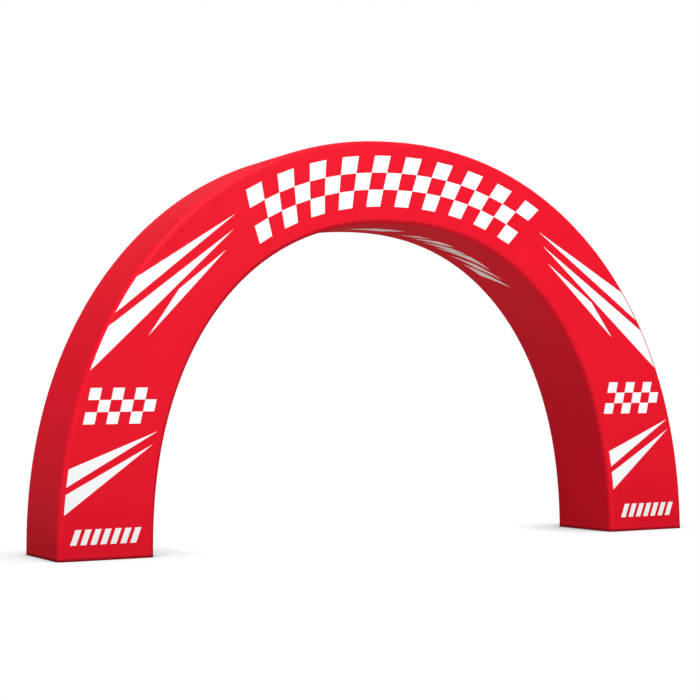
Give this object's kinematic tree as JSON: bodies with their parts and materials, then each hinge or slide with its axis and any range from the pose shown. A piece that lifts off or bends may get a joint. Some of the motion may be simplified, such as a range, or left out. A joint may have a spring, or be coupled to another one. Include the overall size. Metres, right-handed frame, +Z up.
{
  "type": "fabric finish arch cover on a tube frame",
  "caption": "Self-standing race finish arch: a stretched fabric cover with printed stripes over a tube frame, open passage below.",
  "frame": {"origin": "on the floor under the middle of the arch, halfway through its depth", "axes": "+X to the right seen from the printed front, +Y from the front face to the back face, +Z up"},
  "size_m": [6, 0.86, 3.4326],
  "materials": {
    "cover": "matt woven polyester with a slight stretch, printed red with white stripes",
    "tube": "mill finish",
    "plate": "satin"
  },
  "bodies": {
    "root": {"front_panel": "cover", "back_panel": "cover", "outer_band": "cover", "inner_band": "cover", "rail_front_outer": "tube", "rail_front_inner": "tube", "rail_back_outer": "tube", "rail_back_inner": "tube", "rib_1": "tube", "rib_2": "tube", "rib_3": "tube", "rib_4": "tube", "rib_5": "tube", "rib_6": "tube", "rib_7": "tube", "rib_8": "tube", "rib_9": "tube", "base_plate_left": "plate", "base_plate_right": "plate"}
  },
  "joints": []
}
